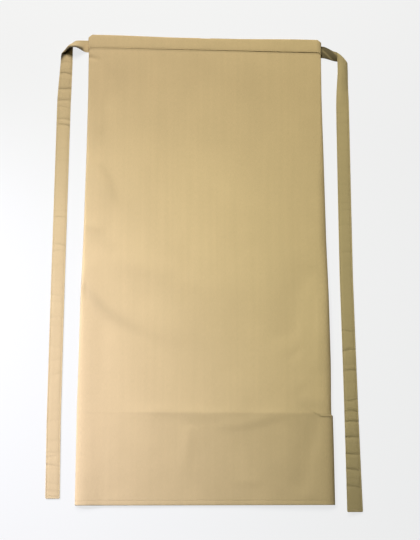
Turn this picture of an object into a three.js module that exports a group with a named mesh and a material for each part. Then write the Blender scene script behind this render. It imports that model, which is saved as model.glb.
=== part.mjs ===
// A long bistro apron lying face up, with both sides of its cloth folded under and a tie led down each side.
// Millimetres: +Y runs from the hem to the waistband, +Z is up, and the apron rests on Z = 0.
import * as THREE from "three";

const { lerp, smoothstep, degToRad } = THREE.MathUtils;

// Driving dimensions
const APRON_LENGTH = 1000; // hem to the top of the waistband
const BAND_LENGTH = 1000; // from end to end of the waistband, unfolded
const BAND_HEIGHT = 31;
const BAND_WALL = 1;
const CLOTH = 1.2; // thickness of the panel and of the ties
const CLEARANCE = 0.3; // between sewn layers
const TIE_WIDTH = 28;
const TIE_TUCK = 14; // the length of waistband that holds a tie's root, and no panel, at each end
const HEM = { width: 10, extra: 0.8 }; // turned to the back of the cloth
const LAYER_GAP = { overTie: 0.4, overFlap: 0.6 }; // under the folded waistband, and between its two layers
const TROUGH = 60; // how far in from a rolled edge the front has sunk to its lying height
const CORNER = { drop: 5, reach: 8, from: 930 }; // the folded corners of the waistband give way and round off
const TOP_SAG = { depth: 3, reach: 220 }; // the waistband's top edge dips in the middle, this far each way
const TOP_TURN = CLOTH / 2 + CLEARANCE + BAND_WALL / 2; // radius of the waistband's fold over the panel
const PANEL_TOP = APRON_LENGTH - TOP_TURN - BAND_WALL / 2;
const PANEL_WIDTH = BAND_LENGTH - 2 * TIE_TUCK;

// Heights of the middle of the cloth, lying on the surface and stacked up at the waistband
const BAND_STACK = CLOTH + 2 * CLEARANCE + 2 * BAND_WALL;
const LYING = CLOTH / 2;
const BANDED_FLAP = CLOTH + LAYER_GAP.overTie + BAND_STACK / 2;
const BANDED_FRONT = BANDED_FLAP + BAND_STACK + LAYER_GAP.overFlap;
const BANDED_ROLL = (BANDED_FRONT - BANDED_FLAP) / 2;

// How the folded cloth lies, from the hem up: how far its folded edges are from the middle line, the radius
// of the soft rolls there, and the heights of the flaps underneath and of the front between the rolls.
const SECTIONS = [
  { y: 0, left: 256.3, right: 256.6, roll: 6.0, flap: LYING, front: 4.4 },
  { y: 120, left: 257.4, right: 257.4, roll: 6.0, flap: LYING, front: 6.0 },
  { y: 183, left: 258.0, right: 254.9, roll: 6.0, flap: LYING, front: 7.2 },
  { y: 270, left: 257.5, right: 256.0, roll: 5.8, flap: LYING, front: 4.8 },
  { y: 420, left: 257.3, right: 256.6, roll: 5.4, flap: LYING, front: 4.4 },
  { y: 540, left: 254.9, right: 254.7, roll: 5.0, flap: LYING, front: 4.4 },
  { y: 740, left: 253.6, right: 254.5, roll: 4.4, flap: LYING, front: 4.4 },
  { y: 870, left: 253.7, right: 253.7, roll: 3.6, flap: LYING, front: 4.8 },
  { y: 950, left: 254.6, right: 254.4, roll: BANDED_ROLL, flap: BANDED_FLAP, front: BANDED_FRONT },
  { y: 1010, left: 255.0, right: 255.0, roll: BANDED_ROLL, flap: BANDED_FLAP, front: BANDED_FRONT },
];

// The front's main wrinkles: soft channels (rise below 0) and ridges, each along a run of points.
const WRINKLES = [
  { rise: -2.4, width: 15, through: [[-240, 430], [-200, 377], [-134, 347], [-63, 318]] },
  { rise: 1.6, width: 17, through: [[-228, 452], [-180, 405], [-110, 372], [-50, 345]] },
  { rise: -1.4, width: 13, through: [[-230, 707], [-211, 681], [-185, 648]] },
  { rise: -1.2, width: 13, through: [[-237, 557], [-208, 553]] },
  { rise: -1.2, width: 13, through: [[-241, 782], [-217, 775]] },
  { rise: 2.0, width: 20, through: [[229, 395], [225, 321], [221, 249]] },
  { rise: -1.4, width: 18, through: [[176, 468], [164, 352]] },
  { rise: 1.4, width: 18, through: [[192, 68], [214, 128], [243, 168]] },
];

// The ties: how steeply each slants down on its hidden way out, how far it bends down beyond the apron's
// edge, its corner fold's radius, whether it comes out of that fold above, how far its lower edge gapes there,
// the share of its width by which it is cupped there, where it ends, and how far from the middle line it runs.
const TIES = [
  {
    name: "tie_left",
    side: -1,
    slant: 1.9,
    dip: 4,
    fold: 4,
    comesOutAbove: false,
    gape: 13,
    cupped: 0.1,
    end: 13,
    run: [
      { y: 940, x: 302.0 },
      { y: 850, x: 304.6 },
      { y: 420, x: 304.0 },
      { y: 170, x: 302.8 },
      { y: 13, x: 299.8 },
    ],
  },
  {
    name: "tie_right",
    side: 1,
    slant: 2.2,
    dip: 9,
    fold: 4.5,
    comesOutAbove: true,
    gape: 0,
    cupped: 0.2,
    end: -13.7,
    run: [
      { y: 930, x: 301.0 },
      { y: 850, x: 299.0 },
      { y: 630, x: 296.0 },
      { y: 470, x: 294.0 },
      { y: -14, x: 295.2 },
    ],
  },
];
const TIE_ROOT = { inside: TIE_TUCK - 1.5, pastBand: 4 }; // inside the waistband's end, and on to the turn
const TIE_RISE = { from: 259, to: 284 }; // a tie that folds under itself rises here, beyond the apron's edge
const ARCH_SHARE = 3 / 8; // a shallow arch's height over its span, squared, as a share of its extra length
const GAPE_LEAN = 0.4; // a gaping edge draws up towards the waistband by this share of its lift
const CUP_FADE = { near: 15, far: 110 }; // a tie flattens out again this far past its corner fold
const TIE_DESCENT = 75; // a tie that comes out above comes down over this length
const SLANT_FADE = { near: 20, far: 60 }; // lines across a tie turn parallel to its fold this far from it

// Evenness of the mesh
const FRONT_COLUMNS = 12; // from the middle line to a roll
const LAST_FRONT_COLUMN = 0.97; // just inside a roll
const ROLL_COLUMNS = 6;
const MID_FLAP = 2.5; // a column halfway along a flap
const TIE_COLUMNS = 4;
const ROW_SPACING = 30;

const twill = new THREE.MeshStandardMaterial({ color: 0xcdb588, roughness: 0.9, metalness: 0 });
const bandTwill = new THREE.MeshStandardMaterial({ color: 0xc9b184, roughness: 0.9, metalness: 0 });
const tieTwill = new THREE.MeshStandardMaterial({ color: 0xc8b083, roughness: 0.9, metalness: 0 });

// Numbers spaced evenly from one value to another, both included.
function evenly(from, to, steps) {
  return Array.from({ length: steps + 1 }, (_, i) => lerp(from, to, i / steps));
}

// A row of a table at a given y, its columns taken straight between the rows on either side.
function rowAt(table, y) {
  const rows = [...table].sort((a, b) => a.y - b.y);
  const next = Math.max(1, rows.findIndex((row) => row.y >= y));
  const above = y > rows.at(-1).y ? rows.at(-1) : rows[next];
  const below = y > rows.at(-1).y ? rows.at(-1) : rows[next - 1];
  const share = above === below ? 0 : THREE.MathUtils.clamp((y - below.y) / (above.y - below.y), 0, 1);
  return Object.fromEntries(Object.keys(above).map((key) => [key, lerp(below[key], above[key], share)]));
}

// How far the wrinkles lift the front at a point.
function wrinkleRise(x, y) {
  const point = new THREE.Vector3(x, y, 0);
  let rise = 0;
  for (const wrinkle of WRINKLES) {
    const corners = wrinkle.through.map(([cornerX, cornerY]) => new THREE.Vector3(cornerX, cornerY, 0));
    const distances = corners.slice(1).map((corner, i) => {
      const leg = new THREE.Line3(corners[i], corner);
      return leg.closestPointToPoint(point, true, new THREE.Vector3()).distanceTo(point);
    });
    rise += wrinkle.rise * Math.exp(-((Math.min(...distances) / wrinkle.width) ** 2));
  }
  return rise;
}

// A point of the folded cloth, moved out of its middle by offset towards its right side. Columns run from -3
// to 3: up to 1 across the front, from 1 to 2 round a roll, and from 2 to 3 along a flap to the cloth's edge.
function lay(column, y, halfWidth, offset) {
  const row = rowAt(SECTIONS, y);
  const side = column < 0 ? -1 : 1;
  const part = Math.abs(column);
  const edge = column < 0 ? row.left : row.right;
  const axis = edge - CLOTH / 2 - row.roll; // where the roll starts and where it ends
  const rollTop = row.flap + 2 * row.roll;
  let x;
  let z;
  if (part <= 1) {
    x = part * axis;
    const sunk = smoothstep(axis - x, 0, TROUGH);
    const wrinkled = wrinkleRise(side * x, y) * smoothstep(axis - x, 0, TROUGH / 3);
    z = lerp(rollTop, row.front, sunk) + wrinkled + offset;
  } else if (part <= 2) {
    const angle = (part - 1) * Math.PI;
    x = axis + (row.roll + offset) * Math.sin(angle);
    z = row.flap + row.roll + (row.roll + offset) * Math.cos(angle);
  } else {
    const flapWidth = halfWidth - axis - Math.PI * row.roll;
    x = axis - (part - 2) * flapWidth;
    z = row.flap - offset;
  }
  const nearCorner = smoothstep(x, edge - CORNER.reach, edge) * smoothstep(y, CORNER.from, APRON_LENGTH);
  const nearTop = smoothstep(y, APRON_LENGTH - BAND_HEIGHT, APRON_LENGTH);
  const sag = part <= 1 ? TOP_SAG.depth * (1 - smoothstep(x, 0, TOP_SAG.reach)) * nearTop : 0;
  return [side * x, y - CORNER.drop * nearCorner - sag, z];
}

// A closed wall of cloth. place(u, v, face) gives a point of its right side (face 1) or its back (face -1).
function clothWall(name, place, us, vs, material) {
  const points = [];
  const index = [];
  const backStart = us.length * vs.length;
  const front = (i, j) => j * us.length + i;
  const back = (i, j) => backStart + front(i, j);
  const quad = (a, b, c, d) => index.push(a, b, c, a, c, d);
  for (const face of [1, -1]) {
    for (const v of vs) {
      for (const u of us) points.push(...place(u, v, face));
    }
  }
  const lastU = us.length - 1;
  const lastV = vs.length - 1;
  for (let j = 0; j < lastV; j++) {
    for (let i = 0; i < lastU; i++) {
      quad(front(i, j), front(i + 1, j), front(i + 1, j + 1), front(i, j + 1));
      quad(back(i, j), back(i, j + 1), back(i + 1, j + 1), back(i + 1, j));
    }
    quad(back(0, j), front(0, j), front(0, j + 1), back(0, j + 1));
    quad(front(lastU, j), back(lastU, j), back(lastU, j + 1), front(lastU, j + 1));
  }
  for (let i = 0; i < lastU; i++) {
    quad(back(i, 0), back(i + 1, 0), front(i + 1, 0), front(i, 0));
    quad(front(i, lastV), front(i + 1, lastV), back(i + 1, lastV), back(i, lastV));
  }
  const geometry = new THREE.BufferGeometry();
  geometry.setAttribute("position", new THREE.Float32BufferAttribute(points, 3));
  geometry.setIndex(index);
  geometry.computeVertexNormals();
  const mesh = new THREE.Mesh(geometry, material);
  mesh.name = name;
  return mesh;
}

// Columns of the folded cloth from one edge to the other, closer together towards the rolls.
function clothColumns(flapColumns) {
  const crowding = 0.75;
  const half = [
    ...evenly(0, 1, FRONT_COLUMNS).map((share) => share ** crowding).slice(0, -1),
    ...evenly(LAST_FRONT_COLUMN, 1, 1),
    ...evenly(1, 2, ROLL_COLUMNS).slice(1),
    ...flapColumns,
  ];
  return [...half.slice(1).reverse().map((column) => -column), ...half];
}

// The panel
const flapWidth = PANEL_WIDTH / 2 - rowAt(SECTIONS, APRON_LENGTH / 2).left; // about halfway up
const flapShare = HEM.width / flapWidth; // of a flap, in its hem
const hemStep = 0.1; // the hem's edge is a short step
function panelPlace(column, y, face) {
  const inSideHem = Math.abs(column) > 3 - flapShare && y < APRON_LENGTH - 2 * BAND_HEIGHT;
  const hem = inSideHem || y < HEM.width ? HEM.extra : 0;
  return lay(column, y, PANEL_WIDTH / 2, face > 0 ? CLOTH / 2 : -CLOTH / 2 - hem);
}
const panelRows = [0, HEM.width * (1 - hemStep), HEM.width * (1 + hemStep)];
const rowStops = [...SECTIONS.map((row) => row.y).filter((y) => y > HEM.width && y < PANEL_TOP), PANEL_TOP];
for (const stop of rowStops) {
  const from = panelRows.at(-1);
  panelRows.push(...evenly(from, stop, Math.ceil((stop - from) / ROW_SPACING)).slice(1));
}
const panelFlap = [MID_FLAP, 3 - flapShare * (1 + hemStep), 3 - flapShare * (1 - hemStep), 3];
const panel = clothWall("panel", panelPlace, clothColumns(panelFlap), panelRows, twill);

// The waistband, round the panel's top edge: up the front, over, and down the back
function bandPlace(column, way, face) {
  const halfWall = (face * BAND_WALL) / 2;
  const turn = THREE.MathUtils.clamp(way, 0, 1) * Math.PI;
  const below = Math.max(-way, way - 1, 0) * (PANEL_TOP - APRON_LENGTH + BAND_HEIGHT);
  const y = PANEL_TOP - below + Math.sin(turn) * (TOP_TURN + halfWall);
  return lay(column, y, BAND_LENGTH / 2, Math.cos(turn) * (TOP_TURN + halfWall));
}
const bandWays = [...evenly(-1, 0, 2), ...evenly(0, 1, 4).slice(1), ...evenly(1, 2, 2).slice(1)];
const waistband = clothWall("waistband", bandPlace, clothColumns([MID_FLAP, 3]), bandWays, bandTwill);

// Bends what lies past a crease of a strip through a soft half turn. A strip's points run along x, across y
// and up z. The crease crosses its middle line at a distance along it, the strip turns there by an angle
// towards -y as seen from above, and comes to lie above (up 1) or below (up -1) itself.
function foldStrip(point, crease) {
  const half = degToRad(crease.turn) / 2;
  const ahead = new THREE.Vector2(Math.sin(half), Math.cos(half));
  const beside = new THREE.Vector2(Math.cos(half), -Math.sin(half));
  const flat = new THREE.Vector2(point.x - crease.at, point.y);
  const past = flat.dot(ahead);
  if (past <= 0) return point;
  const angle = Math.min(past / crease.radius, Math.PI);
  const reach = crease.radius - crease.up * point.z;
  const out = reach * Math.sin(angle) - Math.max(past - Math.PI * crease.radius, 0);
  const folded = ahead.multiplyScalar(out).addScaledVector(beside, flat.dot(beside));
  const height = crease.up * (crease.radius - reach * Math.cos(angle));
  return new THREE.Vector3(crease.at + folded.x, folded.y, height);
}

// A tie: a flat strip from its root, tucked into the waistband's end, turned back under the flap, led out
// under the corner, folded there and laid straight down beside the apron.
function makeTie(tie) {
  const rootY = APRON_LENGTH - BAND_HEIGHT / 2 - TOP_TURN / 2;
  const [bandEnd] = lay(3, rootY, BAND_LENGTH / 2, 0);
  const rootX = bandEnd + TIE_ROOT.inside;
  const turnBack = {
    at: TIE_ROOT.inside + TIE_ROOT.pastBand, turn: 180 - tie.slant, radius: (BANDED_FLAP - LYING) / 2, up: -1,
  };
  const outStart = turnBack.at + Math.PI * turnBack.radius;
  const alongAt = (x) => outStart + (x - (rootX - turnBack.at)) / Math.cos(degToRad(tie.slant));
  const corner = { turn: 90 - tie.slant, radius: tie.fold, up: tie.comesOutAbove ? -1 : 1 };
  const ahead = Math.sin(degToRad(corner.turn) / 2);
  const foldLength = (Math.PI * tie.fold) / ahead; // measured along the tie
  corner.at = alongAt(tie.run[0].x) - Math.PI * tie.fold * ahead;
  const foldEnd = corner.at + foldLength;
  const settle = tie.comesOutAbove
    ? { from: foldEnd, to: foldEnd + TIE_DESCENT, by: -2 * tie.fold }
    : { from: alongAt(TIE_RISE.from), to: alongAt(TIE_RISE.to), by: 2 * tie.fold };
  const keptWidth = (along) => {
    const before = smoothstep(along, alongAt(TIE_RISE.from), corner.at);
    return 1 - tie.cupped * before * (1 - smoothstep(along, foldEnd + CUP_FADE.near, foldEnd + CUP_FADE.far));
  };
  const middle = (along, across) => {
    const kept = keptWidth(along);
    const point = foldStrip(foldStrip(new THREE.Vector3(along, across * kept, 0), corner), turnBack);
    const archHeight = TIE_WIDTH * kept * Math.sqrt((1 / kept - 1) * ARCH_SHARE);
    const arch = archHeight * (1 - (2 * across / TIE_WIDTH) ** 2);
    const y = rootY + point.y;
    const sway = rowAt(tie.run, Math.min(y, tie.run[0].y)).x - tie.run[0].x;
    const lift = settle.by * smoothstep(along, settle.from, settle.to);
    const dip = tie.dip * smoothstep(along, alongAt(TIE_RISE.from), corner.at);
    const lowerShare = (0.5 - across / TIE_WIDTH) ** 2;
    const openUp = smoothstep(along, alongAt(TIE_RISE.from), corner.at - TIE_WIDTH / 4);
    const closeUp = smoothstep(along, corner.at, corner.at + TIE_WIDTH / 2);
    const gape = tie.gape * lowerShare * openUp * (1 - closeUp);
    const x = tie.side * (rootX - point.x + sway);
    return new THREE.Vector3(x, y - dip + gape * GAPE_LEAN, BANDED_FLAP + point.z + lift + gape + arch);
  };
  const slantOf = (station) => {
    const before = smoothstep(station, corner.at - SLANT_FADE.far, corner.at - SLANT_FADE.near);
    const after = 1 - smoothstep(station, foldEnd + SLANT_FADE.near, foldEnd + SLANT_FADE.far);
    return (before * after) / Math.tan(degToRad(corner.turn) / 2);
  };
  const place = (station, across, face) => {
    const along = station - across * keptWidth(station) * slantOf(station);
    const step = 0.02;
    const point = middle(along, across);
    const onward = middle(along + step, across).sub(middle(along - step, across));
    const sideways = middle(along, across + step).sub(middle(along, across - step));
    const normal = onward.cross(sideways).normalize().multiplyScalar(-tie.side);
    return point.addScaledVector(normal, (face * CLOTH) / 2).toArray();
  };
  const runLength = middle(foldEnd + TIE_DESCENT, 0).y + TIE_DESCENT - tie.end;
  const stretches = [
    { to: turnBack.at, steps: 1 },
    { to: outStart, steps: 8 },
    { to: corner.at - SLANT_FADE.far, steps: 3 },
    { to: corner.at, steps: 14 },
    { to: foldEnd, steps: 12 },
    { to: foldEnd + 2 * TIE_DESCENT, steps: 16 },
    { to: foldEnd + runLength, steps: 8 },
  ];
  const stations = [0];
  for (const { to, steps } of stretches) {
    stations.push(...evenly(stations.at(-1), to, steps).slice(1));
  }
  const inOrder = tie.side < 0 ? stations : stations.reverse();
  const acrosses = evenly(-TIE_WIDTH / 2, TIE_WIDTH / 2, TIE_COLUMNS);
  return clothWall(tie.name, place, inOrder, acrosses, tieTwill);
}

const apron = new THREE.Group();
apron.add(panel, waistband, ...TIES.map(makeTie));
const middleOfAll = new THREE.Box3().setFromObject(apron).getCenter(new THREE.Vector3());
apron.position.set(-middleOfAll.x, -middleOfAll.y, 0);

export default apron;
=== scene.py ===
"""Dresses a long bistro apron that lies face up, its sides folded under and a tie led down each side."""
import math
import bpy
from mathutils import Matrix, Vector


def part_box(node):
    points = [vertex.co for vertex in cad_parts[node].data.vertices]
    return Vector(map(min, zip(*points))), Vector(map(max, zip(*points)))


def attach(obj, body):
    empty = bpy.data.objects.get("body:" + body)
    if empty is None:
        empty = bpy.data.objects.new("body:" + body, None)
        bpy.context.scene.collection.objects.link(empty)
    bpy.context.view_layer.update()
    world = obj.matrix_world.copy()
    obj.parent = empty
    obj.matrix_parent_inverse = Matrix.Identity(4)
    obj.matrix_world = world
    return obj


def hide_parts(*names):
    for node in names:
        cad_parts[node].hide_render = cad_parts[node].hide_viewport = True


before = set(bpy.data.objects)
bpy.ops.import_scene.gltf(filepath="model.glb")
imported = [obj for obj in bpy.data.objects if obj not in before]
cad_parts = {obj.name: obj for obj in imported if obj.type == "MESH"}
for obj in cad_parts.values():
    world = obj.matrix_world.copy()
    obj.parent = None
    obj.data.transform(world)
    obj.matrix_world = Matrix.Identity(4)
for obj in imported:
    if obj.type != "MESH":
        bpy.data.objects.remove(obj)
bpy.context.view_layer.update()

from types import SimpleNamespace as Row

import bpy
import numpy as np
from mathutils import Matrix, Vector

scene = bpy.context.scene


def table(columns, rows):
    """Rows of values under the names of their columns."""
    return [Row(**dict(zip(columns.split(), row))) for row in rows]


# Driving dimensions in millimetres, in the apron's own frame: x from its middle line, y from its hem, z up
MM = 0.001
APRON_LENGTH = 1000.0  # hem to the top of the waistband
BAND_LENGTH = 1000.0  # from end to end of the waistband, unfolded
BAND_HEIGHT = 31.0
BAND_WALL = 1.0
CLOTH = 1.2  # thickness of the panel and of the ties
CLEARANCE = 0.3  # between sewn layers
TIE_WIDTH = 28.0
TIE_TUCK = 14.0  # the waistband's ends beyond the panel, for the ties' roots
LAYER_GAP = Row(over_tie=0.4, over_flap=0.6)  # under the folded waistband, and between its two layers
FRONT_HALF = 250.0  # about half the front's width, for places on the flat cloth
ROLL_LENGTH = 15.0  # about the length of cloth in a rolled side, for the same

# What follows from them
TOP_TURN = CLOTH / 2 + CLEARANCE + BAND_WALL / 2  # radius of the waistband's fold over the panel
PANEL_TOP = APRON_LENGTH - TOP_TURN - BAND_WALL / 2
PANEL_WIDTH = BAND_LENGTH - 2 * TIE_TUCK
BAND_BELOW = PANEL_TOP - APRON_LENGTH + BAND_HEIGHT  # how far the band reaches below the panel's top edge
BAND_EDGE = PANEL_TOP - BAND_BELOW
BAND_AROUND = 2 * BAND_BELOW + math.pi * TOP_TURN  # from its front lower edge to its back one

# Heights of the middle of the cloth, lying on the surface and stacked up at the waistband
LYING = CLOTH / 2
BAND_STACK = CLOTH + 2 * CLEARANCE + 2 * BAND_WALL
BANDED_FLAP = CLOTH + LAYER_GAP.over_tie + BAND_STACK / 2
BANDED_FRONT = BANDED_FLAP + BAND_STACK + LAYER_GAP.over_flap
BANDED_ROLL = (BANDED_FRONT - BANDED_FLAP) / 2

# How the folded cloth lies, from the hem up: how far its folded edges are from the middle line, the radius
# of the rolls there, and the heights of the flaps and of the front
SECTIONS = table("y left right roll flap front", [
    (0, 256.3, 256.6, 6.0, LYING, 4.8),
    (120, 257.4, 257.4, 6.0, LYING, 6.0),
    (183, 258.0, 257.4, 6.0, LYING, 6.9),
    (270, 257.5, 256.5, 5.8, LYING, 4.8),
    (420, 257.3, 256.6, 5.4, LYING, 5.0),
    (540, 254.9, 254.7, 5.0, LYING, 5.0),
    (740, 253.6, 254.5, 4.4, LYING, 5.0),
    (870, 253.7, 253.7, 3.6, LYING, 4.8),
    (950, 254.6, 254.4, BANDED_ROLL, BANDED_FLAP, BANDED_FRONT),
    (1010, 255.0, 255.0, BANDED_ROLL, BANDED_FLAP, BANDED_FRONT),
])
SECTION_BLEND = 9.0  # the sections run into each other over about this length
SECTION_MARGIN = 80.0  # they are known this far beyond the apron
SECTION_STEP = 2.0

# How the sides bend down and turn under, as shares of the roll's radius: how wide and high a bend is above
# its outermost line, and below it. Between the two y of spread the width above goes over into the plain
# roll, and between those of LOOSE the rest does
LEFT_BEND = Row(wide=2.5, high=0.7, under_wide=0.8, under_high=0.48, spread=(150.0, 560.0))
RIGHT_BEND = Row(wide=3.6, high=1.0, under_wide=0.7, under_high=0.42, spread=(600.0, 900.0))
LOOSE = (780.0, 940.0)
TROUGH = Row(left=42.0, right=190.0)  # how far in from a bend the front has sunk to its lying height
WRINKLE_START = 10.0  # from a bend to where the front's wrinkles are whole
RIGHT_STEP = Row(depth=2.9, comes=(174.5, 178.0), goes=(178.0, 290.0))  # the right edge jumps in there
CORNER = Row(drop=5.0, reach=8.0, start=930.0)  # the waistband's folded corners give way and round off
TOP_SAG = Row(depth=3.0, reach=220.0)  # its top edge dips in the middle, this far each way

# The front's soft folds, each along a run of points: how high it stands (channels lie below 0), how far it
# reaches to the run's left and right, and the shares of the run over which it comes in and goes out
FOLDS = table("rise left right fade run", [
    (4.9, 35, 16, (0.0, 0.8), [(-254, 462), (-241, 442), (-205, 393), (-138, 360), (-68, 334), (-36, 321)]),
    (2.2, 32, 22, (0.5, 0.5), [(-227, 524), (-185, 499), (-109, 475), (-47, 444), (35, 434)]),
    (1.3, 13, 8, (0.0, 0.6), [(-254, 568), (-228, 563), (-205, 558)]),
    (3.0, 12, 28, (0.0, 0.45), [(-256, 716), (-238, 697), (-211, 661), (-183, 602)]),
    (-0.8, 11, 11, (0.3, 0.3), [(-218, 868), (-213, 848), (-211, 830)]),
    (-0.8, 11, 11, (0.3, 0.3), [(-224, 784), (-221, 764), (-218, 746)]),
    (-1.6, 22, 34, (0.3, 0.4), [(226, 483), (192, 442), (184, 396), (179, 352), (150, 322)]),
    (-0.6, 14, 14, (0.3, 0.4), [(195, 352), (160, 338), (122, 335)]),
    (1.1, 15, 15, (0.3, 0.3), [(245, 430), (237, 350), (229, 265)]),
    (-0.6, 10, 10, (0.3, 0.3), [(199, 314), (165, 284)]),
    (-0.5, 10, 10, (0.4, 0.4), [(201, 238), (197, 214)]),
    (-1.3, 16, 24, (0.06, 0.25), [(235, 174), (209, 121), (198, 62), (189, 23)]),
    (0.7, 14, 10, (0.3, 0.3), [(-116, 186), (-37, 179), (40, 175)]),
    (0.9, 14, 10, (0.25, 0.3), [(18, 153), (76, 158), (112, 167), (168, 178)]),
    (0.8, 14, 9, (0.2, 0.5), [(-34, 156), (-40, 106), (-46, 56)]),
    (0.8, 14, 9, (0.4, 0.4), [(45, 46), (80, 45), (118, 46)]),
    (0.6, 9, 14, (0.3, 0.4), [(-220, 942), (-180, 909)]),
    (-2.2, 4, 6, (0.0, 0.7), [(-256, 948), (-246, 946), (-226, 940)]),
])
FADE_START = -0.01  # just before a run, so that what comes in over none of it is whole
# A packing crease across the front: how far it reaches up and down, how uneven it is along its length, and
# where it gets weaker towards the right
CREASE = Row(y=181.0, rise=0.72, above=19.0, below=11.0, uneven=0.35, length=90.0, seed=14)
CREASE_END = Row(x=(150.0, 235.0), lost=0.6)
# Slow waves of the front: their length, how high they stand, and a seed
WAVES = table("length rise seed", [
    (150.0, 0.40, 11),
    (62.0, 0.12, 12),
    (24.0, 0.025, 13),
])
WAVE_SPREAD = (0.7, 1.5)  # the shares of their given length that waves have
PRESSED = Row(share=0.6, reach=40.0)  # how much flatter these are at the waistband, and from how far below

# The panel's finer shapes: the dip at the band's seam, and the hem with its stitching and puckers
SEAM_DIP = Row(left=-0.7, right=0.4, at=BAND_EDGE - 0.3, width=2.2)
HEM = Row(width=10.0, blend=0.5, extra=0.8, stitch=9.0)  # turned to the back of the cloth
SIDE_HEM = Row(columns=(2.953, 2.96), y=(930.0, 945.0))  # ends below the waistband
HEM_GROOVE = Row(depth=0.18, width=1.1)
HEM_PUCKER = Row(length=13.0, stretch=0.4, rise=0.12, reach=26.0, seed=21)

# Painted shade beside the panel's folds, on their sides that turn from the light, and a paler middle: by how
# much, how wide, where that comes in and goes out, and along which run
SHADES = table("dark width fade run", [
    (0.07, 10, (0.02, 0.5), [(-256, 438), (-232, 415), (-203, 388), (-150, 358)]),
    (0.06, 10, (0.2, 0.3), [(-228, 706), (-208, 680), (-196, 650), (-188, 612)]),
    (0.05, 16, (0.3, 0.3), [(-238, 550), (-215, 533), (-185, 512)]),
    (0.04, 10, (0.3, 0.3), [(-224, 850), (-222, 770), (-218, 740)]),
    (0.07, 13, (0.3, 0.3), [(180, 196), (212, 196), (244, 194)]),
    (0.09, 7, (0.3, 0.3), [(247, 700), (249, 640), (246, 580), (246, 500)]),
    (-0.06, 90, (0.4, 0.4), [(10, 760), (5, 580), (0, 390)]),
])
SHADED_COLUMNS = 1.5  # the shades end at the outermost lines of the rolls
# Painted shade in the band's seam, along the hem's stitching, below the crease, and where the right side
# turns
SEAM_SHADE = Row(left=0.05, right=0.2, at=SEAM_DIP.at - 2.4, width=2.0)
HEM_SHADE = Row(dark=0.06, width=0.9)
CREASE_SHADE = Row(left=-0.04, right=0.13, y=(CREASE.y - 6, CREASE.y + 2), columns=2.0)
ROLL_SHADE = Row(dark=0.2, columns=(1.1, 1.45), y=(750.0, 930.0))

# The waistband: its stitching, the groove for it with painted shade in it, its puckers, and painted shade at
# its right end
BAND_STITCH = 2.2  # from its lower edge
BAND_GROOVE = Row(depth=0.28, width=0.8, dark=0.06)
BAND_PUCKER = Row(length=34.0, stretch=0.5, rise=0.22, edge=(BAND_STITCH, 12.0), top=(-1.0, 6.0), seed=22)
BAND_END_SHADE = Row(dark=0.3, columns=(0.965, 1.02))

# The ties: how steeply each slants on its hidden way out, how far it dips beyond the apron's edge, its
# corner fold's radius, whether it comes out of that fold above, how far its lower edge gapes there, how much
# narrower the arched corner is, its free end's y and how far it leans. By y from the top down: how far out
# its middle line is, the share of its width, its tone, which paints shade and light along it, and the depth
# of the cross puckers that show
TIES = [
    Row(
        name="tie_left", side=-1, slant=1.9, dip=4, fold=4, out_above=False, gape=13, cupped=0.1,
        end=13, lean=0.0, seed=31,
        run=[(940, 302), (850, 304.6), (420, 304), (170, 302.8), (13, 299.8)],
        width=[(930, 1.03), (850, 1.04), (300, 1.0), (13, 1.01)],
        shade=[(900, 1.0), (455, 0.95), (235, 1.0), (40, 1.1)],
        puckers=[
            (934, 0.8), (908, 1.0), (874, 1.0), (848, 0.8), (831, 0.4), (804, 0.8), (790, 0.9), (586, 0.6),
            (526, 0.5), (512, 0.4), (418, 0.3), (96, 0.3), (76, 0.4),
        ],
    ),
    Row(
        name="tie_right", side=1, slant=2.2, dip=9, fold=4.5, out_above=True, gape=0, cupped=0.2,
        end=-13.7, lean=11.0, seed=32,
        run=[(930, 301), (850, 299), (630, 296), (470, 294), (-14, 295.2)],
        width=[(930, 1.0), (800, 1.03), (300, 1.04), (180, 1.07), (60, 1.12), (-14, 1.17)],
        shade=[(955, 0.75), (915, 0.95), (680, 0.9), (250, 0.92), (20, 0.78)],
        puckers=[
            (349, 0.5), (308, 0.8), (266, 0.7), (207, 0.6), (183, 0.8), (163, 0.9), (132, 1.0), (99, 0.9),
            (68, 0.9), (35, 0.6),
        ],
    ),
]
TIE_ROOT = Row(inside=TIE_TUCK - 1.5, past_band=4.0)
TIE_RISE = Row(start=259.0, stop=284.0)  # the x between which a tie that comes out below rises
TIE_DESCENT = 75.0  # the length over which one that comes out above sinks
TIE_FREE = 40.0  # from the fold to where a tie lies loose
ARCH_SHARE = 0.14  # how strongly the corner arches for the width that it loses
GAPE_LEAN = 0.4  # how far the gaping edge moves up as it opens
CUP_FADE = (15.0, 110.0)  # past the fold, where the arch flattens
SLANT_FADE = (20.0, 60.0)  # from the corner, where the mesh stops slanting
LEAN_FADE = Row(y=(250.0, 850.0), share=0.35)  # a tie leans less towards its top
TIE_STITCH = 2.6  # from an edge
END_STITCH = 4.5  # from a tie's end
END_RADIUS = 2.5  # of a tie end's corners
END_BLEND = 4 * END_RADIUS  # how far up the tie its cloth is pulled by them
PILLOW = Row(rise=0.2, edge=(3.0, 8.0))  # how a tie is padded within its edges
# the groove along a tie's stitching, with painted shade in it
TIE_GROOVE = Row(depth=0.3, width=1.0, dark=0.1)
# Cross puckers: how high the cloth stands between them, how steeply it falls to each from above and below,
# how they lie across, the painted shade in their creases, and the faint ones between those that show
PUCKER = Row(
    rise=1.4, above=2.6, below=7.0, slant=(-0.18, 0.18), bow=(-1.5, 2.5), uneven=0.75, width=2.0, dark=0.1,
)
FAINT_PUCKER = Row(spacing=(14.0, 40.0), depth=(0.05, 0.28))
# Painted shade at the folded corners: on the left inside the fold and along the gaping lower edge, on the
# right where the tie is under its fold, with a paler streak across
FOLD_SHADE = Row(dark=0.9, width=6.0)
GAPE_SHADE = Row(dark=0.75, edge=(5.0, 12.0), starts=(6.0, 12.0), stops=(0.0, 4.0))
UNDER_SHADE = Row(dark=0.7, stops=(-4.0, 5.0))
STREAK = Row(pale=0.45, across=4.0, slope=0.8, width=3.0)

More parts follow.
